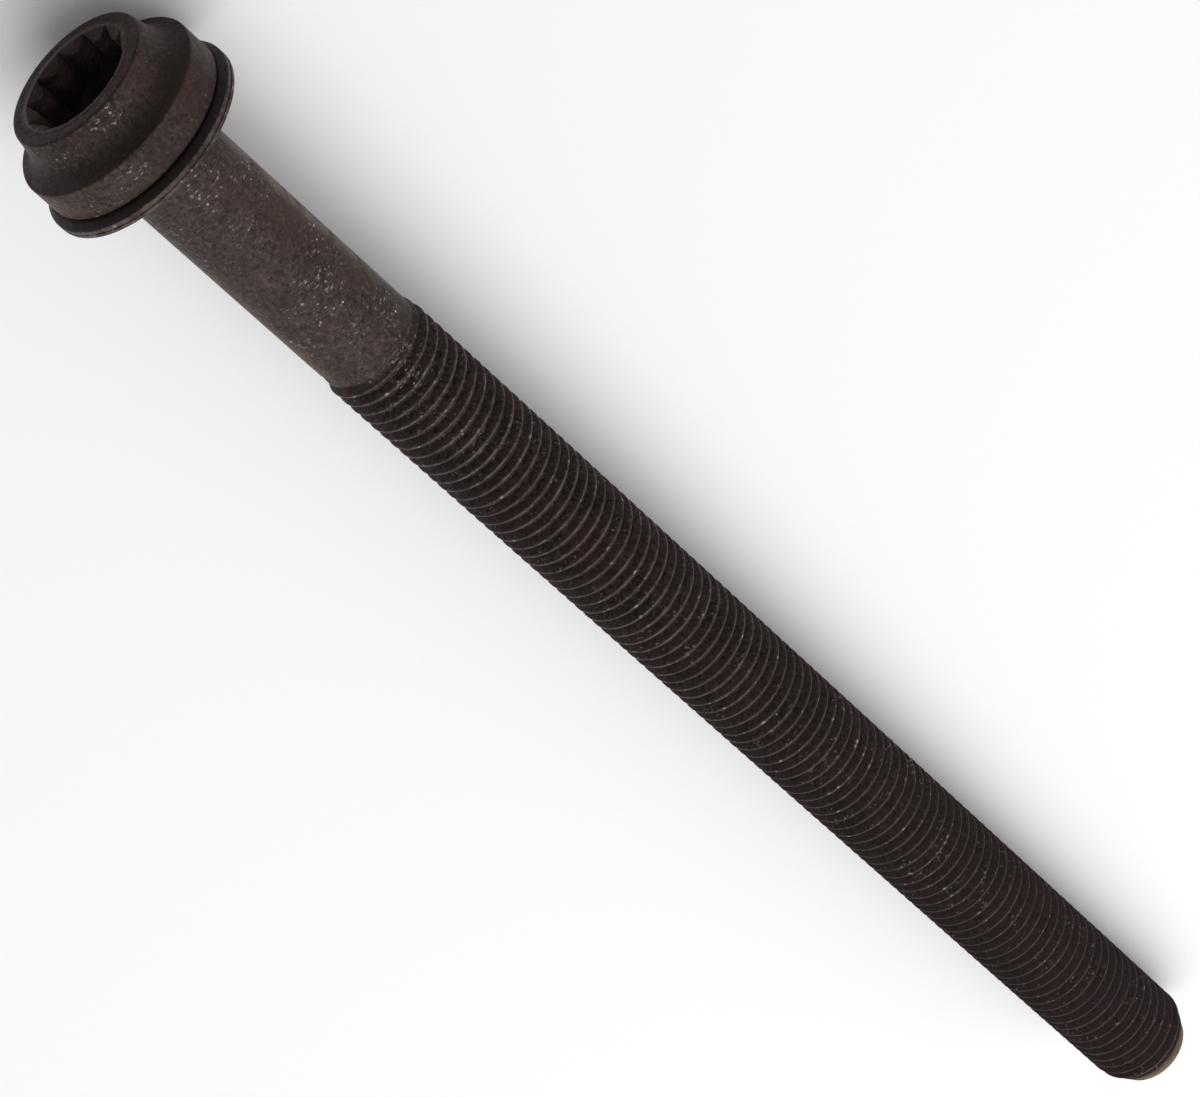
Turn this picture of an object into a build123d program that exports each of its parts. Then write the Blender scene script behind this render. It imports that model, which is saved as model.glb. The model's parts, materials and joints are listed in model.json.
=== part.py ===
from build123d import *
import math
import os

# Cylinder head bolt, M12 x 1.5, with a 12-point socket and a captive washer.
# Sizes are in millimetres. The bolt is drawn standing, head up, with its axis on Z
# and the washer's bearing plane at Z = 0, and is then laid down as it comes to rest.

# Thread and shank: the plain shank is the blank that the thread was rolled on
nominal_diameter = 12.0
thread_pitch = 1.5
crest_allowance = 0.2
thread_diameter = nominal_diameter - crest_allowance
shank_diameter = nominal_diameter - 0.65 * thread_pitch
under_head_length = 176.0
plain_shank_length = 32.4
runout_length = 0.8 * thread_pitch
tip_taper_length = 3.2
tip_end_diameter = 9.3
tip_edge_rounding = 0.35

# Head: a collar round the socket, a hollow fillet and a broad drum
head_height = 9.55
collar_top_diameter = 15.4
collar_foot_diameter = 16.2
collar_edge_rounding = 0.3
drum_diameter = 20.6
drum_top_height = 5.4
drum_top_rounding = 0.2
drum_lower_chamfer = 0.25
hollow_height = 2.0
under_head_fillet = 0.6

# 12-point socket
socket_point_diameter = 12.1
socket_tooth_diameter = 10.2
socket_points = 12
socket_flank_angle = 45.0
socket_depth = 7.0
socket_lead_diameter = 12.3
socket_bottom_angle = 30.0
socket_turn = -1.8

# Captive washer
washer_diameter = 22.1
washer_thickness = 1.5
washer_top_bevel_height = 0.55
washer_top_bevel_width = 0.65
washer_lower_bevel = 0.18
washer_bore_clearance = 0.25
washer_seat_gap = 0.05
washer_resting_gap = 0.05

# How far the bolt and its loose washer are turned about their axis as they lie
bolt_turn = -3.6
washer_turn = -1.9


def radius(diameter):
    return diameter / 2


# The head's underside rests on the washer's upper face.
underside_height = washer_thickness + washer_seat_gap
tip_height = -under_head_length
thread_start_height = -plain_shank_length
crest_end_height = tip_height + tip_taper_length


def turned_bolt():
    """The forged and rolled blank: head, plain shank and thread at its outer diameter."""
    drum_top_inner = radius(drum_diameter) - drum_top_rounding
    collar_foot_height = drum_top_height + hollow_height
    with BuildPart() as blank:
        with BuildSketch(Plane.XZ):
            with BuildLine():
                head_top = Line((0, head_height), (radius(collar_top_diameter) - collar_edge_rounding, head_height))
                collar_edge = RadiusArc(
                    head_top @ 1,
                    (radius(collar_top_diameter), head_height - collar_edge_rounding),
                    collar_edge_rounding,
                )
                collar_side = Line(collar_edge @ 1, (radius(collar_foot_diameter), collar_foot_height))
                TangentArc(collar_side @ 1, (drum_top_inner, drum_top_height), tangent=collar_side % 1)
                drum_edge = RadiusArc(
                    (drum_top_inner, drum_top_height),
                    (radius(drum_diameter), drum_top_height - drum_top_rounding),
                    drum_top_rounding,
                )
                drum_foot = (radius(drum_diameter) - drum_lower_chamfer, underside_height)
                fillet_start = (radius(shank_diameter) + under_head_fillet, underside_height)
                fillet_end = (radius(shank_diameter), underside_height - under_head_fillet)
                below_drum = Polyline(
                    drum_edge @ 1,
                    (radius(drum_diameter), underside_height + drum_lower_chamfer),
                    drum_foot,
                    fillet_start,
                )
                under_head = RadiusArc(fillet_start, fillet_end, -under_head_fillet)
                shaft = Polyline(
                    fillet_end,
                    (radius(shank_diameter), thread_start_height),
                    (radius(thread_diameter), thread_start_height - runout_length),
                    (radius(thread_diameter), crest_end_height),
                    (radius(tip_end_diameter), tip_height + tip_edge_rounding),
                )
                tip_edge = RadiusArc(
                    shaft @ 1,
                    (radius(tip_end_diameter) - tip_edge_rounding, tip_height),
                    tip_edge_rounding,
                )
                Polyline(tip_edge @ 1, (0, tip_height), (0, head_height))
            make_face()
        revolve(axis=Axis.Z)
    return blank.part


def socket_outline():
    """One turn of the socket's outline: 90 degree points between narrow flat-topped teeth."""
    point_radius = radius(socket_point_diameter)
    tooth_radius = radius(socket_tooth_diameter)
    half_width = (point_radius - tooth_radius) * math.tan(math.radians(socket_flank_angle))
    flank_turn = math.degrees(math.atan2(half_width, tooth_radius))
    corners = []
    for point in range(socket_points):
        centre_turn = socket_turn + point * 360 / socket_points
        for turn, reach in (
            (centre_turn - flank_turn, tooth_radius),
            (centre_turn, point_radius),
            (centre_turn + flank_turn, tooth_radius),
        ):
            angle = math.radians(turn)
            corners.append((reach * math.cos(angle), reach * math.sin(angle)))
    return corners


def drive_socket():
    """The space a 12-point key fills, with its lead-in cone and its shallow conical floor."""
    lead_depth = radius(socket_lead_diameter) - radius(socket_tooth_diameter)
    floor_depth = radius(socket_tooth_diameter) * math.tan(math.radians(socket_bottom_angle))
    with BuildPart() as space:
        with BuildSketch(Plane.XY.offset(head_height - socket_depth)):
            Polygon(*socket_outline(), align=None)
        extrude(amount=socket_depth)
        with BuildSketch(Plane.XZ):
            with BuildLine():
                Polyline(
                    (0, head_height),
                    (radius(socket_lead_diameter), head_height),
                    (radius(socket_tooth_diameter), head_height - lead_depth),
                    (0, head_height - lead_depth),
                    close=True,
                )
            make_face()
        revolve(axis=Axis.Z)
        with BuildSketch(Plane.XZ):
            with BuildLine():
                Polyline(
                    (0, head_height - socket_depth),
                    (radius(socket_tooth_diameter), head_height - socket_depth),
                    (0, head_height - socket_depth - floor_depth),
                    close=True,
                )
            make_face()
        revolve(axis=Axis.Z)
    return space.part


def captive_washer():
    """The washer: a turned ring, bevelled above, and relieved in its bore for the head's fillet."""
    bore_radius = radius(shank_diameter) + washer_bore_clearance
    outer_radius = radius(washer_diameter)
    relief = under_head_fillet + washer_bore_clearance
    with BuildPart() as ring:
        with BuildSketch(Plane.XZ):
            with BuildLine():
                Polyline(
                    (bore_radius, 0),
                    (outer_radius - washer_lower_bevel, 0),
                    (outer_radius, washer_lower_bevel),
                    (outer_radius, washer_thickness - washer_top_bevel_height),
                    (outer_radius - washer_top_bevel_width, washer_thickness),
                    (bore_radius + relief, washer_thickness),
                    (bore_radius, washer_thickness - relief),
                    close=True,
                )
            make_face()
        revolve(axis=Axis.Z)
    return ring.part


# At rest the shank lies in the bottom of the washer's bore, so the washer sits a little high.
washer_rise = washer_bore_clearance - washer_resting_gap

bolt = Rotation(0, 0, bolt_turn) * (turned_bolt() - drive_socket())
washer = Pos(washer_rise, 0, 0) * Rotation(0, 0, washer_turn) * captive_washer()

# The part lies on the washer's lower edge and on the end of the thread's crest.
contact_drop = radius(washer_diameter) - washer_rise - radius(thread_diameter)
contact_distance = washer_lower_bevel - crest_end_height
rest_tilt = math.degrees(math.atan2(contact_drop, contact_distance))
lying = Rotation(0, -90 + rest_tilt, 0)

os.makedirs("parts", exist_ok=True)
export_step(lying * bolt, "parts/head_bolt.step")
export_step(lying * washer, "parts/captive_washer.step")

print("rest tilt, degrees:", round(rest_tilt, 4))
print("free travel of the washer, mm:", plain_shank_length)
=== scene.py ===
import json
import math

import bpy
from mathutils import Matrix, Vector


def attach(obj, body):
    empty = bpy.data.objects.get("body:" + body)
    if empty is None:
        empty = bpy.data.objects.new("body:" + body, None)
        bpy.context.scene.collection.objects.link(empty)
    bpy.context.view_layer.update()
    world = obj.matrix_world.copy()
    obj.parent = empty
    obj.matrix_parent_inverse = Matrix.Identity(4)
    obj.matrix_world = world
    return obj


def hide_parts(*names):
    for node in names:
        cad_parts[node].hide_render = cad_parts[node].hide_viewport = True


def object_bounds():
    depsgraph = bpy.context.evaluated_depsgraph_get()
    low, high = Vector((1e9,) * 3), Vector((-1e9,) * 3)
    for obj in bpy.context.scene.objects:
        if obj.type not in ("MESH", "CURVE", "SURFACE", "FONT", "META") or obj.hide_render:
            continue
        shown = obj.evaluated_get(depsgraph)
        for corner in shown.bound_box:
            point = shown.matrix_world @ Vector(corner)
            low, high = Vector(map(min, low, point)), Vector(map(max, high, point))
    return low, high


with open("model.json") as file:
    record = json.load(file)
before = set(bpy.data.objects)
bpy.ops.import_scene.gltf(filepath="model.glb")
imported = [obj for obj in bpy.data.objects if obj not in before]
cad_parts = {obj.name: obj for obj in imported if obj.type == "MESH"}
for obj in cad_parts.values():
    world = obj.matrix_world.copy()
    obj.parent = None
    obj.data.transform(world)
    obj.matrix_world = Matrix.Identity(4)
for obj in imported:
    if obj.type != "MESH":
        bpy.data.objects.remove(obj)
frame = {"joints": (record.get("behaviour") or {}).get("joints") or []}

cad_low, cad_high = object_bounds()


# The threaded shaft: M12 x 1.5, right-hand, rolled into a plain round blank, so its
# crests stand a little above the plain shank and its roots lie a little below it.
# The rolling fades out under the plain shank and runs off over the tapered tip.
MM = 0.001
pitch = 1.5 * MM
crest_radius = 5.9 * MM
shank_radius = 5.5125 * MM
thread_start = -32.4 * MM
fade_length = 1.35 * MM
taper_start = -172.8 * MM
taper_end = -175.65 * MM
tip_radius = 4.65 * MM
tip_rounding = 0.35 * MM
tip_height = -176.0 * MM
shaft_top = -30.0 * MM
turns_wound = 100
steps_per_turn = 48
whole_turn = 2 * math.pi
weld_distance = 1e-6


def choose(piece):
    """Selects one piece alone and makes it the active one."""
    bpy.ops.object.select_all(action="DESELECT")
    piece.select_set(True)
    bpy.context.view_layer.objects.active = piece


def edit_all():
    """Opens the active piece in edit mode with all of it selected."""
    bpy.ops.object.mode_set(mode="EDIT")
    bpy.ops.mesh.select_all(action="SELECT")


def outline(name, corners, closed=False):
    """Lays an outline out as a chain of edges, by extruding one corner after another."""
    bpy.ops.object.select_all(action="DESELECT")
    bpy.ops.mesh.primitive_plane_add(size=MM, location=corners[0])
    drawn = bpy.context.object
    drawn.name = name
    bpy.ops.object.transform_apply(location=True, rotation=False, scale=False)
    bpy.ops.object.mode_set(mode="EDIT")
    bpy.ops.mesh.select_mode(type="VERT")
    bpy.ops.mesh.select_all(action="SELECT")
    bpy.ops.mesh.merge(type="CENTER")
    chain = list(corners) + ([corners[0]] if closed else [])
    for here, there in zip(chain, chain[1:]):
        step = Vector(there) - Vector(here)
        bpy.ops.mesh.extrude_vertices_move(TRANSFORM_OT_translate={"value": step})
    bpy.ops.mesh.select_all(action="SELECT")
    bpy.ops.mesh.remove_doubles(threshold=weld_distance)
    bpy.ops.object.mode_set(mode="OBJECT")
    return drawn


def in_metres(profile, lift=0.0):
    """Takes a profile of distances from the axis and heights, in millimetres, to corners."""
    return [(reach * MM, 0, height * MM + lift) for reach, height in profile]


def apply_all(piece):
    """Applies a piece's modifiers in their order."""
    choose(piece)
    for modifier in list(piece.modifiers):
        bpy.ops.object.modifier_apply(modifier=modifier.name)


# Half a turn of the thread in millimetres: how far from the crest's middle, and the radius.
half_groove = (
    (0.000, 5.890), (0.075, 5.900), (0.125, 5.865), (0.160, 5.800), (0.340, 5.490),
    (0.520, 5.180), (0.580, 5.095), (0.670, 5.060), (0.750, 5.055),
)
one_turn = [(radius, -rise) for rise, radius in reversed(half_groove)]
one_turn += [(radius, rise) for rise, radius in half_groove[1:]]
first_crest = tip_height - 1.56 * MM
shaft = outline("forged_bolt", in_metres(one_turn, first_crest))
winding = shaft.modifiers.new("winding", "SCREW")
winding.axis = "Z"
winding.angle = whole_turn
winding.screw_offset = pitch
winding.iterations = turns_wound
winding.steps = winding.render_steps = steps_per_turn
apply_all(shaft)
edit_all()
bpy.ops.mesh.remove_doubles(threshold=2 * weld_distance)
bpy.ops.object.mode_set(mode="OBJECT")

# Where the rolling dies let go: the groove fades out upwards, as a shallow score that
# climbs one turn higher on one side of the shank, and the crests taper towards the tip.
early_groove = 1.5 * MM
early_middle = -100
early_half_arc = 105
early_fade_arc = 60
for corner in shaft.data.vertices:
    x, y, z = corner.co
    reach = math.hypot(x, y)
    round_by = abs((math.degrees(math.atan2(y, x)) - early_middle + 180) % 360 - 180)
    early = min(max((early_half_arc - round_by) / early_fade_arc, 0.0), 1.0)
    start = thread_start + (early_groove * early if reach < shank_radius else 0.0)
    rolled = min(max((start - z) / fade_length, 0.0), 1.0)
    rolled = rolled * rolled * (3 - 2 * rolled)
    wanted = shank_radius + (reach - shank_radius) * rolled
    if z < taper_start:
        on_taper = (z - taper_end) / (taper_start - taper_end)
        wanted = min(wanted, tip_radius + (crest_radius - tip_radius) * max(on_taper, 0.0))
    if z < taper_end:
        below = min((taper_end - z) / (taper_end - tip_height), 1.0)
        inward = 1 - math.sqrt(max(1 - below * below, 0.0))
        wanted = min(wanted, tip_radius - tip_rounding * inward)
    corner.co.x = x * wanted / reach
    corner.co.y = y * wanted / reach

# The winding is trimmed at both ends, and the tip is closed with a slightly hollow end.
cut_snap = 1e-7
end_recess = 0.3 * MM
end_narrowing = 0.55
end_dimple = 0.15 * MM
bpy.ops.object.mode_set(mode="EDIT")
for height, thrown_away in ((shaft_top, "clear_outer"), (tip_height, "clear_inner")):
    bpy.ops.mesh.select_all(action="SELECT")
    bpy.ops.mesh.bisect(
        plane_co=(0, 0, height), plane_no=(0, 0, 1), threshold=cut_snap, **{thrown_away: True}
    )
bpy.ops.mesh.extrude_edges_move(TRANSFORM_OT_translate={"value": (0, 0, end_recess)})
bpy.ops.transform.resize(value=(end_narrowing, end_narrowing, 1))
bpy.ops.mesh.extrude_edges_move(TRANSFORM_OT_translate={"value": (0, 0, end_dimple)})
bpy.ops.mesh.merge(type="CENTER")
bpy.ops.object.mode_set(mode="OBJECT")


# The head: cold-forged in one with the shaft. A broad drum carries the load, a hollow
# leads up to a narrower collar, and the collar's flat top holds the 12-point socket.
# It isn't machined, so its edges keep the soft corners of the forging dies.
drum_underside = 1.55
neck_fillet = 0.6
head_profile = [(0, shaft_top / MM), (shank_radius / MM, shaft_top / MM)]
for turn in (0.0, 22.5, 45.0, 67.5, 90.0):
    outward, upward = 1 - math.cos(math.radians(turn)), 1 - math.sin(math.radians(turn))
    head_profile.append(
        (shank_radius / MM + neck_fillet * outward, drum_underside - neck_fillet * upward)
    )
drum_profile = [
    (10.05, drum_underside), (10.16, 1.60), (10.26, 1.72), (10.30, 1.88),
    (10.30, 5.15), (10.285, 5.26), (10.23, 5.35), (10.13, 5.40),
]
hollow_profile = [
    (9.55, 5.50), (9.10, 5.71), (8.73, 6.02), (8.45, 6.40), (8.24, 6.86), (8.13, 7.25), (8.10, 7.40),
]
collar_profile = [
    (7.90, 8.35), (7.72, 9.22), (7.69, 9.36), (7.61, 9.47), (7.50, 9.535),
    (7.38, 9.55), (6.80, 9.55), (0, 9.55),
]
collar_top = collar_profile[-1][1] * MM


def turned(name, profile, steps, closed=False):
    """Spins a profile round the upright axis into a skin without seams, facing outwards."""
    skin = outline(name, in_metres(profile), closed)
    edit_all()
    bpy.ops.mesh.spin(steps=steps, angle=whole_turn, center=(0, 0, 0), axis=(0, 0, 1))
    bpy.ops.mesh.select_all(action="SELECT")
    bpy.ops.mesh.remove_doubles(threshold=weld_distance)
    bpy.ops.mesh.normals_make_consistent(inside=False)
    bpy.ops.object.mode_set(mode="OBJECT")
    return skin


def cut_out(body, tool):
    """Takes a tool's shape out of a body, then throws the tool away."""
    cut = body.modifiers.new("cut", "BOOLEAN")
    cut.operation = "DIFFERENCE"
    cut.solver = "EXACT"
    cut.object = tool
    apply_all(body)
    bpy.data.objects.remove(tool)


def cut_cone(body, sides, low_radius, high_radius, depth, top):
    """Takes a cone out of a body, from its top downwards."""
    bpy.ops.object.select_all(action="DESELECT")
    bpy.ops.mesh.primitive_cone_add(
        vertices=sides, radius1=low_radius, radius2=high_radius, depth=depth,
        location=(0, 0, top - depth / 2),
    )
    cut_out(body, bpy.context.object)


head = turned("head", head_profile + drum_profile + hollow_profile + collar_profile, 144)

# The socket: twelve points of 90 degrees, with a lead-in cone above and a conical floor.
socket_points = 12
socket_turn = -1.8
point_radius = 6.05 * MM
tooth_radius = 5.1 * MM
socket_depth = 7.0 * MM
socket_floor = collar_top - socket_depth
over_cut = 1 * MM
flank_turn = math.degrees(math.atan2(point_radius - tooth_radius, tooth_radius))
star = []
for point in range(socket_points):
    middle_turn = socket_turn + point * 360 / socket_points
    for turn, reach in ((-flank_turn, tooth_radius), (0.0, point_radius), (flank_turn, tooth_radius)):
        angle = math.radians(middle_turn + turn)
        star.append((reach * math.cos(angle), reach * math.sin(angle), socket_floor))
key_space = outline("key_space", star, closed=True)
edit_all()
bpy.ops.mesh.edge_face_add()
bpy.ops.mesh.extrude_region_move(TRANSFORM_OT_translate={"value": (0, 0, socket_depth + over_cut)})
bpy.ops.mesh.select_all(action="SELECT")
bpy.ops.mesh.normals_make_consistent(inside=False)
bpy.ops.object.mode_set(mode="OBJECT")
cut_out(head, key_space)
cut_cone(head, 144, 3.85 * MM, 6.85 * MM, 3.0 * MM, collar_top + over_cut)
cut_cone(head, 96, 0, 5.0 * MM, 2.9 * MM, socket_floor + 0.001 * MM)

# Handling has taken the sharpness off every edge of the head and its socket.
worn = head.modifiers.new("worn", "BEVEL")
worn.width = 0.05 * MM
worn.segments = 2
worn.limit_method = "ANGLE"
worn.angle_limit = math.radians(35)
apply_all(head)

# The forging is one piece of metal: the head's neck is opened and joined to the shaft.
neck_end = shaft_top + 0.5 * MM
bpy.ops.object.mode_set(mode="EDIT")
bpy.ops.mesh.select_all(action="DESELECT")
bpy.ops.object.mode_set(mode="OBJECT")
for face in head.data.polygons:
    heights = [head.data.vertices[k].co.z for k in face.vertices]
    face.select = all(abs(height - shaft_top) < weld_distance for height in heights)
bpy.ops.object.mode_set(mode="EDIT")
bpy.ops.mesh.select_mode(type="FACE")
bpy.ops.mesh.delete(type="FACE")
bpy.ops.object.mode_set(mode="OBJECT")
for corner in head.data.vertices:
    corner.co.z = max(corner.co.z, neck_end)
choose(shaft)
head.select_set(True)
bpy.ops.object.join()
bpy.ops.object.mode_set(mode="EDIT")
bpy.ops.mesh.select_mode(type="EDGE")
bpy.ops.mesh.select_all(action="DESELECT")
bpy.ops.mesh.select_non_manifold(
    extend=False, use_wire=False, use_boundary=True,
    use_multi_face=False, use_non_contiguous=False, use_verts=False,
)
bpy.ops.mesh.bridge_edge_loops()
bpy.ops.mesh.select_all(action="SELECT")
bpy.ops.mesh.normals_make_consistent(inside=False)
bpy.ops.object.mode_set(mode="OBJECT")

# The bolt slopes down to its tip as it lies, by as much as the washer's slide does.
lean = math.asin(-frame["joints"][0]["axis"][2])
smooth_angle = math.radians(32)


def lay_down(piece, own_turn, rise=0.0):
    """Turns an upright piece to where it lies at rest, and leaves its object at the origin."""
    choose(piece)
    piece.data.transform(
        Matrix.Rotation(math.radians(-90) + lean, 4, "Y")
        @ Matrix.Translation((rise, 0, 0))
        @ Matrix.Rotation(math.radians(own_turn), 4, "Z")
    )
    bpy.ops.object.shade_smooth_by_angle(angle=smooth_angle)


lay_down(shaft, -3.6)


def add_node(tree, kind, **settings):
    """Adds a node to a material or a room and sets its own options."""
    node = tree.nodes.new(kind)
    for key, value in settings.items():
        setattr(node, key, value)
    return node


def phosphate(name, worn_and_highlit_edge, rim_tint=None, socket_dirt_and_shade=None, painted_shade_band=None, scuffed_and_highlit_at=(), rings=(), marks=()):
    """Oiled black phosphate on steel: coarse crystals, brown bloom, scuffs and pale specks, with painted
    shade, painted highlights and painted glints.
    """
    material = bpy.data.materials.new(name)
    material.use_nodes = True
    links = material.node_tree.links
    shader = material.node_tree.nodes["Principled BSDF"]

    def add(kind, **settings):
        return add_node(material.node_tree, kind, **settings)

    place = add("ShaderNodeTexCoord")
    upright = add("ShaderNodeMapping")
    upright.inputs["Rotation"].default_value = (0, math.radians(90) - lean, 0)
    links.new(place.outputs["Object"], upright.inputs["Vector"])
    where = upright.outputs["Vector"]

    def squeezed(factors):
        """The place on the piece, squeezed, so that a pattern on it comes out drawn out."""
        node = add("ShaderNodeVectorMath", operation="MULTIPLY")
        links.new(where, node.inputs[0])
        node.inputs[1].default_value = factors
        return node.outputs["Vector"]

    def cloud(scale, detail, roughness=0.55, squeeze=None):
        """Soft noise all over the piece."""
        node = add("ShaderNodeTexNoise")
        node.inputs["Scale"].default_value = scale
        node.inputs["Detail"].default_value = detail
        node.inputs["Roughness"].default_value = roughness
        links.new(squeezed(squeeze) if squeeze else where, node.inputs["Vector"])
        return node.outputs["Fac"]

    def span(value, low, high, to_low=0.0, to_high=1.0):
        """Goes smoothly from one number to another while a value goes from low to high."""
        node = add("ShaderNodeMapRange", interpolation_type="SMOOTHSTEP")
        links.new(value, node.inputs["Value"])
        node.inputs["From Min"].default_value = low
        node.inputs["From Max"].default_value = high
        node.inputs["To Min"].default_value = to_low
        node.inputs["To Max"].default_value = to_high
        return node.outputs["Result"]

    def combined(operation, first, second):
        """Joins two values, of which the second may be a plain number."""
        node = add("ShaderNodeMath", operation=operation)
        links.new(first, node.inputs[0])
        if isinstance(second, float):
            node.inputs[1].default_value = second
        else:
            links.new(second, node.inputs[1])
        return node.outputs[0]

    def times(first, second):
        return combined("MULTIPLY", first, second)

    def paint(under, over, amount):
        """Lays one colour over another by an amount."""
        node = add("ShaderNodeMix", data_type="RGBA")
        links.new(amount, node.inputs["Factor"])
        for slot, value in ((6, under), (7, over)):
            if isinstance(value, tuple):
                node.inputs[slot].default_value = (*value, 1)
            else:
                links.new(value, node.inputs[slot])
        return node.outputs[2]

    def specks(scale, size, share, thick_in):
        """Dots or flakes, each in a cell of its own; only a share of the cells has one."""
        cells = add("ShaderNodeTexVoronoi")
        cells.inputs["Scale"].default_value = scale
        links.new(where, cells.inputs["Vector"])
        pick = add("ShaderNodeSeparateColor")
        links.new(cells.outputs["Color"], pick.inputs[0])
        chosen = span(pick.outputs[0], 1.0 - share, 1.0 - share * 0.6)
        dot = span(cells.outputs["Distance"], size, size * 0.45)
        return times(times(dot, chosen), thick_in)

    def near(x, y, z, width, length, core, strongest=1.0):
        """Strongest round a point, fading out at a width across and a length along the axis."""
        gap = add("ShaderNodeVectorMath", operation="DISTANCE")
        links.new(squeezed((1, 1, width / length)), gap.inputs[0])
        gap.inputs[1].default_value = (x * MM, y * MM, z * MM * width / length)
        return span(gap.outputs["Value"], width * MM, core * width * MM, 0.0, strongest)

    # The coat: two browns in soft patches, under a coarse crystal grain.
    patches = span(cloud(170, 3), 0.34, 0.66)
    colour = paint((0.032, 0.0218, 0.0200), (0.048, 0.0330, 0.0300), patches)
    grain = span(cloud(2300, 3, 0.75), 0.48, 0.68)
    colour = paint(colour, (0.120, 0.091, 0.084), times(grain, 0.58))
    pores = span(cloud(1700, 3, 0.7), 0.52, 0.38)
    colour = paint(colour, (0.010, 0.0064, 0.0058), times(pores, 0.76))
    bloom = span(cloud(85, 3), 0.54, 0.72)
    colour = paint(colour, (0.060, 0.029, 0.018), times(bloom, 0.50))

    # Handling dust lies thicker towards the tip and dulls the thread there.
    split = add("ShaderNodeSeparateXYZ")
    links.new(where, split.inputs[0])
    height = split.outputs["Z"]
    colour = paint(colour, (0.058, 0.041, 0.041), span(height, -50 * MM, -170 * MM, 0.0, 0.60))

    # Crests and outer corners are painted paler, told by their distance from the axis: partly worn by
    # use, partly a painted highlight along them.
    flat = add("ShaderNodeCombineXYZ")
    links.new(split.outputs["X"], flat.inputs["X"])
    links.new(split.outputs["Y"], flat.inputs["Y"])
    from_axis = add("ShaderNodeVectorMath", operation="LENGTH")
    links.new(flat.outputs[0], from_axis.inputs[0])
    reach = from_axis.outputs["Value"]
    edge_low, edge_high, top_limit = worn_and_highlit_edge
    below_limit = span(height, top_limit * MM, (top_limit - 0.5) * MM)
    rubbed_and_highlit = times(span(reach, edge_low * MM, edge_high * MM), below_limit)
    rubbed_and_highlit = times(rubbed_and_highlit, span(cloud(600, 4, 0.7), 0.38, 0.62, 0.05, 1.0))
    rubbed_and_highlit = times(rubbed_and_highlit, span(cloud(150, 3), 0.34, 0.60, 0.40, 1.0))
    crest = paint((0.030, 0.0205, 0.0205), (0.112, 0.089, 0.083), span(height, -145 * MM, -50 * MM))
    colour = paint(colour, crest, times(rubbed_and_highlit, 0.92))

    # Pale crystals, scuffs and dust lie thick in some places and are rare in others, and their pale
    # specks and strokes are partly painted glints.
    groups = span(cloud(240, 3, 0.6), 0.48, 0.64, 0.10, 1.0)
    for x, y, z, size in scuffed_and_highlit_at:
        groups = combined("MAXIMUM", groups, near(x, y, z, size, size, 0.3, 1.7))
    scuffs_and_glints = span(cloud(1100, 3, 0.7, squeeze=(1.0, 1.0, 3.0)), 0.60, 0.70)
    colour = paint(colour, (0.34, 0.285, 0.265), times(times(scuffs_and_glints, groups), 0.70))
    colour = paint(colour, (0.30, 0.255, 0.240), times(specks(2600, 0.46, 0.15, groups), 0.75))
    colour = paint(colour, (0.72, 0.66, 0.62), times(specks(1500, 0.24, 0.032, groups), 0.95))
    # Painted highlights: glints along the crests.
    crest_glints = times(specks(1900, 0.55, 0.10, rubbed_and_highlit), span(height, -172 * MM, -120 * MM, 0.25, 0.90))
    colour = paint(colour, (0.46, 0.39, 0.35), crest_glints)

    # Rings lie on the flat top alone: dirt, wear, painted shade and a painted highlight.
    for ring_reach, half_width, ring_colour, amount in rings:
        ring_middle = ring_reach * MM
        line = times(
            span(reach, (ring_reach - half_width) * MM, ring_middle),
            span(reach, (ring_reach + half_width) * MM, ring_middle),
        )
        line = times(line, span(height, 9.15 * MM, 9.30 * MM))
        line = times(line, span(cloud(420, 3), 0.30, 0.60, 0.25, 1.0))
        colour = paint(colour, ring_colour, times(line, amount))

    # Marks, among them a painted highlight, painted glints and darker places, are broken up by a cloud of
    # their own.
    for x, y, z, width, length, mark_colour, amount, scale, clear, full in marks:
        breaks = span(cloud(scale, 3, 0.65, squeeze=(1.0, 1.0, 2.2)), clear, full)
        mark = times(near(x, y, z, width, length, 0.35), breaks)
        colour = paint(colour, mark_colour, times(mark, amount))

    # The tip's last corner has lost its coat, and the bare steel has gone golden brown.
    if rim_tint:
        tip_low, tip_high, tip_colour = rim_tint
        bare = times(span(height, tip_high * MM, tip_low * MM), span(cloud(500, 3), 0.25, 0.55))
        bare = times(bare, span(reach, 3.5 * MM, 4.5 * MM, 0.15, 1.0))
        colour = paint(colour, tip_colour, times(bare, 0.85))

    # Old oil and dirt blacken what a key reaches into, as a lumpy crust, and painted shade darkens it
    # more the deeper it lies.
    crust = None
    if socket_dirt_and_shade:
        dirt_and_shade_radius, dirt_and_shade_floor = socket_dirt_and_shade
        inside = times(
            span(reach, dirt_and_shade_radius * MM, (dirt_and_shade_radius - 0.7) * MM),
            span(height, (dirt_and_shade_floor - 0.2) * MM, dirt_and_shade_floor * MM),
        )
        dirt_and_shade = paint((0.030, 0.0165, 0.0160), (0.050, 0.030, 0.0275), span(height, 6.0 * MM, 9.2 * MM))
        dirt_and_shade = paint(dirt_and_shade, (0.009, 0.0052, 0.0050), times(span(cloud(420, 3), 0.42, 0.62), 0.75))
        colour = paint(colour, dirt_and_shade, times(inside, 0.80))
        crust = times(inside, cloud(520, 3, 0.6))
    # Painted shade: a band of heights under an overhang or in a recess is darkened.
    if painted_shade_band:
        low, low_full, high_full, high, amount = painted_shade_band
        in_band = times(span(height, low * MM, low_full * MM), span(height, high * MM, high_full * MM))
        colour = paint(colour, (0.0055, 0.0033, 0.0030), times(in_band, amount))
    links.new(colour, shader.inputs["Base Color"])

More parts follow.
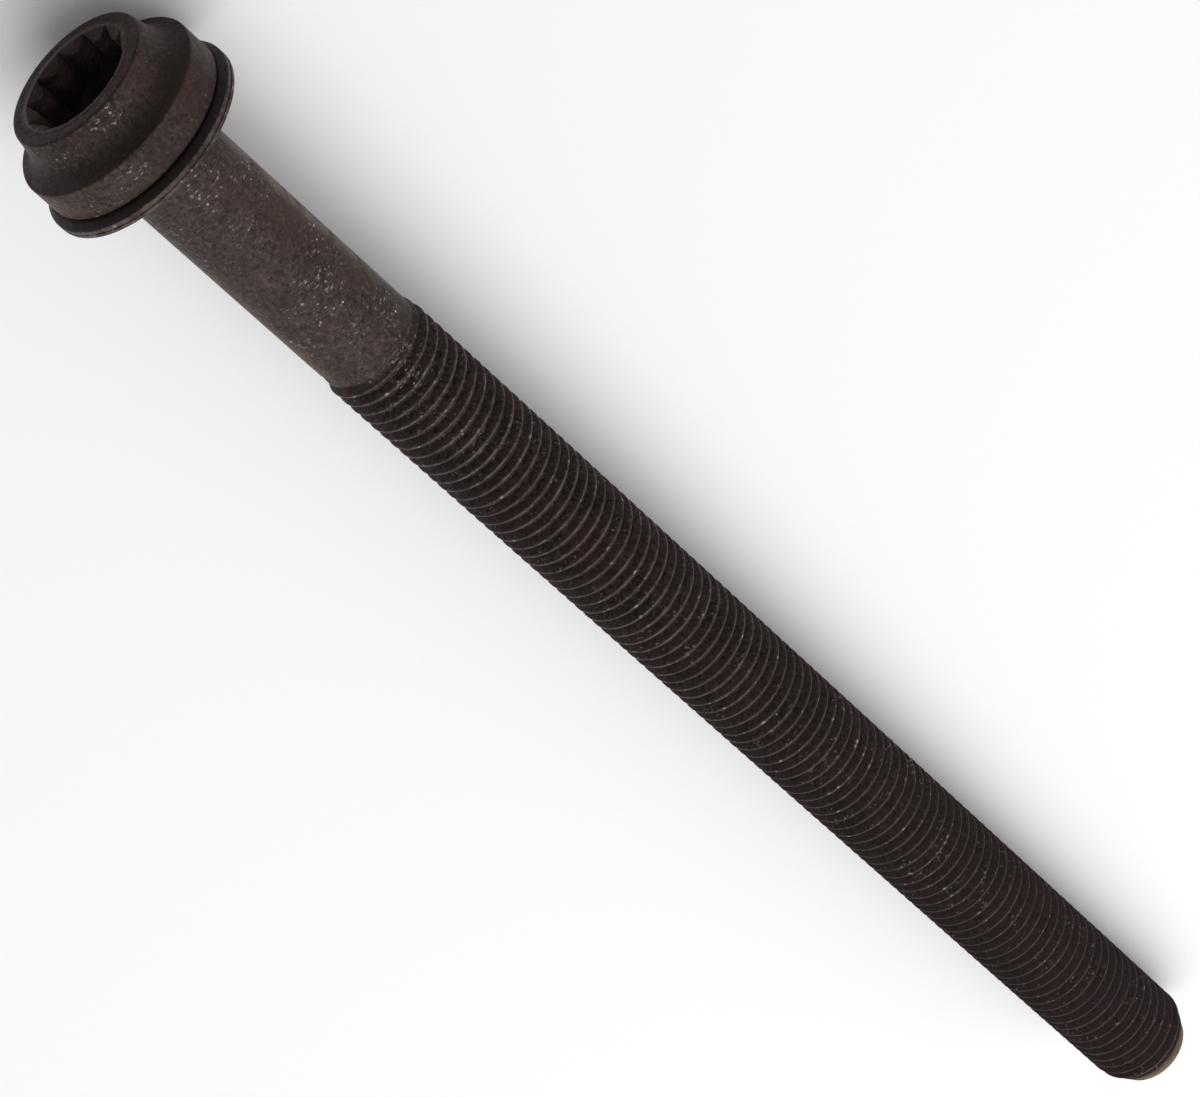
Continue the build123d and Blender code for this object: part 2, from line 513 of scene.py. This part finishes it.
    # Oil leaves a weak sheen, and the dust towards the tip makes the coat duller.
    shader.inputs["Specular IOR Level"].default_value = 0.12
    shader.inputs["Specular Tint"].default_value = (1.0, 0.84, 0.80, 1)
    shader.inputs["Sheen Weight"].default_value = 0.06
    shader.inputs["Sheen Roughness"].default_value = 0.30
    shader.inputs["Sheen Tint"].default_value = (1.0, 0.82, 0.78, 1)
    uneven = span(cloud(1500, 3), 0.3, 0.7, 0.46, 0.62)
    dusty = span(height, -40 * MM, -165 * MM, 0.0, 0.28)
    links.new(combined("ADD", uneven, dusty), shader.inputs["Roughness"])

    # The crystals are felt as fine pits, and the crust as lumps over them.
    surface = add("ShaderNodeBump")
    surface.inputs["Strength"].default_value = 0.75
    surface.inputs["Distance"].default_value = 0.08 * MM
    links.new(cloud(2200, 5, 0.7), surface.inputs["Height"])
    if crust:
        lumps = add("ShaderNodeBump")
        lumps.inputs["Strength"].default_value = 0.8
        lumps.inputs["Distance"].default_value = 0.6 * MM
        links.new(crust, lumps.inputs["Height"])
        links.new(surface.outputs["Normal"], lumps.inputs["Normal"])
        surface = lumps
    links.new(surface.outputs["Normal"], shader.inputs["Normal"])
    return material


# Where hands and keys have left scuffs, with painted glints, and where a painted highlight lies towards
# the shank's right edge as seen: x, y, height and size, in millimetres.
scuff_and_highlight_places = (
    (7.16, 3.34, 8.4, 2.6), (9.9, 2.84, 4.4, 1.9), (4.77, 2.76, -5.3, 3.2), (4.9, 2.5, -22.0, 4.5),
    (5.35, 2.49, -35.5, 3.0), (0.5, 5.49, -9.0, 3.0), (0.2, 5.5, -19.0, 3.6), (0.2, 5.5, -29.0, 3.0),
)
# Rings on the head's top: distance from the axis and half width, colour and amount. They
# are a dark film, partly dirt and partly painted shade, a pale line round the mouth, partly
# wear and partly a painted highlight, and a line of painted shade at the outer corner.
top_rings = (
    (6.95, 0.95, (0.013, 0.0062, 0.0045), 0.78),
    (6.10, 0.20, (0.26, 0.215, 0.20), 0.70),
    (7.58, 0.13, (0.0075, 0.0045, 0.0042), 0.75),
)
# Marks: x, y, height, width and length, colour and amount, then how fine the cloud is that
# breaks them up, and its limits. They are a painted highlight along the shank's right edge as
# seen, brown tints near its left edge as seen, the torn first turns with painted glints on
# them, and the darker places on the drum and the shank.
bolt_marks = (
    (-1.75, 5.23, -15.0, 2.4, 20.0, (0.175, 0.138, 0.131), 0.70, 160, 0.36, 0.54),
    (3.69, -4.10, -22.0, 1.9, 14.0, (0.085, 0.045, 0.017), 0.50, 200, 0.40, 0.58),
    (4.45, -3.25, -30.5, 1.9, 6.5, (0.090, 0.046, 0.020), 0.34, 260, 0.42, 0.60),
    (5.05, 2.90, -36.0, 2.3, 3.0, (0.56, 0.50, 0.47), 0.92, 1000, 0.60, 0.66),
    (4.60, 3.30, -33.4, 2.6, 1.5, (0.42, 0.37, 0.34), 0.80, 1000, 0.60, 0.67),
    (0.50, 10.28, 3.4, 7.5, 7.5, (0.016, 0.0100, 0.0085), 0.50, 300, 0.10, 0.30),
    (8.90, 5.10, 3.4, 8.5, 6.0, (0.016, 0.0095, 0.0080), 0.26, 300, 0.10, 0.30),
    (4.80, 2.70, -17.0, 5.5, 20.0, (0.016, 0.0095, 0.0080), 0.20, 500, 0.42, 0.58),
)
# The bolt's coat has painted shade in its socket and in the hollow between the drum and the collar.
black_coat = phosphate(
    "phosphated_steel",
    worn_and_highlit_edge=(5.72, 5.91, -32.5),
    rim_tint=(-175.55, -174.3, (0.185, 0.122, 0.060)),
    socket_dirt_and_shade=(6.6, 1.5),
    painted_shade_band=(5.20, 5.42, 5.9, 7.9, 0.55),
    scuffed_and_highlit_at=scuff_and_highlight_places,
    rings=top_rings,
    marks=bolt_marks,
)
shaft.data.materials.clear()
shaft.data.materials.append(black_coat)
for face in shaft.data.polygons:
    face.material_index = 0
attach(shaft, "bolt")
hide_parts("head_bolt")


# The captive washer: a hard flat ring that was slipped on before the thread was rolled,
# so it can't come off. It is bevelled above, has a fine groove round its rim, and slides
# on the plain shank, which lies in the bottom of its bore.
ring_profile = (
    (5.7625, 0.68), (5.7625, 0.0), (10.93, 0.0), (11.02, 0.05), (11.05, 0.14), (11.05, 0.26),
    (11.05, 0.38), (10.95, 0.43), (10.93, 0.49), (10.96, 0.55), (11.05, 0.59),
    (11.05, 0.90), (11.02, 0.97), (10.44, 1.47), (10.36, 1.5), (6.58, 1.5),
)
ring = turned("captive_washer_ring", ring_profile, 160, closed=True)
lay_down(ring, -1.9, rise=0.2 * MM)
# The washer's rim is painted paler, partly worn and partly a painted highlight, and its top bevel under
# the drum gets painted shade.
washer_coat = phosphate(
    "washer_steel",
    worn_and_highlit_edge=(10.98, 11.06, 1.8),
    painted_shade_band=(0.90, 1.02, 1.6, 1.7, 0.94),
)
ring.data.materials.append(washer_coat)
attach(ring, "washer")
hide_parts("captive_washer")


# The floor: one sheet of plain pale card under everything. Far from the bolt it fades
# into the white of the room, for the camera alone.
floor_size = 8
floor_middle = 0.08
fade_near, fade_far = 0.15, 0.70
bpy.ops.object.select_all(action="DESELECT")
bpy.ops.mesh.primitive_plane_add(size=floor_size, location=(floor_middle, 0, cad_low.z))
floor = bpy.context.object
floor.name = "floor"
card = bpy.data.materials.new("pale_card")
card.use_nodes = True


def show_white(tree):
    """Tells the rays that only look at the background from those that carry light."""
    rays = add_node(tree, "ShaderNodeLightPath")
    looking = rays.outputs["Is Camera Ray"]
    for kind in ("Is Glossy Ray", "Is Transmission Ray"):
        either = add_node(tree, "ShaderNodeMath", operation="MAXIMUM")
        tree.links.new(looking, either.inputs[0])
        tree.links.new(rays.outputs[kind], either.inputs[1])
        looking = either.outputs[0]
    return rays.outputs["Is Camera Ray"], looking


paper = card.node_tree
paper_shader = paper.nodes["Principled BSDF"]
camera_ray, looking_ray = show_white(paper)
tone = add_node(paper, "ShaderNodeMix", data_type="RGBA")
tone.inputs[6].default_value = (0.50, 0.50, 0.50, 1)
tone.inputs[7].default_value = (0.99, 0.99, 0.99, 1)
paper.links.new(looking_ray, tone.inputs["Factor"])
paper.links.new(tone.outputs[2], paper_shader.inputs["Base Color"])
paper_shader.inputs["Roughness"].default_value = 0.9
paper_shader.inputs["Specular IOR Level"].default_value = 0.1
spread = add_node(paper, "ShaderNodeTexCoord")
away = add_node(paper, "ShaderNodeVectorMath", operation="LENGTH")
paper.links.new(spread.outputs["Object"], away.inputs[0])
fading = add_node(paper, "ShaderNodeMapRange", interpolation_type="SMOOTHSTEP")
fading.inputs["From Min"].default_value = fade_near
fading.inputs["From Max"].default_value = fade_far
paper.links.new(away.outputs["Value"], fading.inputs["Value"])
faded = add_node(paper, "ShaderNodeMath", operation="MULTIPLY")
paper.links.new(fading.outputs["Result"], faded.inputs[0])
paper.links.new(camera_ray, faded.inputs[1])
white = add_node(paper, "ShaderNodeEmission")
white.inputs["Strength"].default_value = 1.0
join = add_node(paper, "ShaderNodeMixShader")
paper.links.new(faded.outputs[0], join.inputs["Fac"])
paper.links.new(paper_shader.outputs[0], join.inputs[1])
paper.links.new(white.outputs[0], join.inputs[2])
paper.links.new(join.outputs[0], paper.nodes["Material Output"].inputs["Surface"])
floor.data.materials.append(card)


# Light: a broad soft box overhead, a little beyond the tip, a weaker one low at one side
# that lightens the shadow beside the shank, and an even white room.
room = bpy.data.worlds.new("room")
bpy.context.scene.world = room
room.use_nodes = True
background = room.node_tree.nodes["Background"]
background.inputs["Color"].default_value = (1, 1, 1, 1)
strength = add_node(room.node_tree, "ShaderNodeMapRange")
strength.inputs["To Min"].default_value = 0.26
strength.inputs["To Max"].default_value = 1.0
room.node_tree.links.new(show_white(room.node_tree)[1], strength.inputs["Value"])
room.node_tree.links.new(strength.outputs["Result"], background.inputs["Strength"])
bolt_middle = Vector((0.085, 0, 0))


def hang_soft_box(name, width, depth, energy, offset):
    """Hangs a rectangular soft box that faces the middle of the bolt."""
    box = bpy.data.lights.new(name, "AREA")
    box.shape = "RECTANGLE"
    box.size = width
    box.size_y = depth
    box.energy = energy
    lamp = bpy.data.objects.new(name, box)
    bpy.context.collection.objects.link(lamp)
    lamp.location = bolt_middle + Vector(offset)
    lamp.rotation_euler = (bolt_middle - lamp.location).to_track_quat("-Z", "Y").to_euler()


hang_soft_box("soft_box", 1.6, 1.4, 12.9, (0.50, 0.10, 0.75))
hang_soft_box("side_box", 1.0, 0.5, 1.0, (0.15, 0.85, 0.32))


# The camera: it looks down on the lying bolt from the head's side, and is turned so that
# the bolt runs from the upper left corner of the picture to the lower right one. The
# eye's place is told from the bolt's origin, along and across the bolt as it is seen.
photo_width = 1200
focal_pixels = 4391
film_width = 36
facing_turn = math.radians(60)
slant = math.radians(54.2)
roll = math.radians(42.0129)
eye_distance = 0.40669
eye_tipwards = 0.05667
eye_sideways = 0.000421
along = Vector(frame["joints"][0]["axis"]).normalized()
side_up = Vector((0, math.cos(facing_turn), math.sin(facing_turn)))
near_side = (side_up - along * side_up.dot(along)).normalized()
across = along.cross(near_side)
forward = math.cos(slant) * along - math.sin(slant) * near_side
axis_in_view = math.sin(slant) * along + math.cos(slant) * near_side
right = math.cos(roll) * axis_in_view - math.sin(roll) * across
down = math.sin(roll) * axis_in_view + math.cos(roll) * across
eye = eye_tipwards * axis_in_view - eye_distance * eye_sideways * across - eye_distance * forward
lens = bpy.data.cameras.new("camera")
lens.sensor_width = film_width
lens.lens = focal_pixels * film_width / photo_width
lens.clip_start = 0.01
camera = bpy.data.objects.new("camera", lens)
bpy.context.collection.objects.link(camera)
camera.matrix_world = Matrix((
    (right.x, -down.x, -forward.x, eye.x),
    (right.y, -down.y, -forward.y, eye.y),
    (right.z, -down.z, -forward.z, eye.z),
    (0, 0, 0, 1),
))
bpy.context.scene.camera = camera
bpy.context.scene.view_settings.view_transform = "Standard"
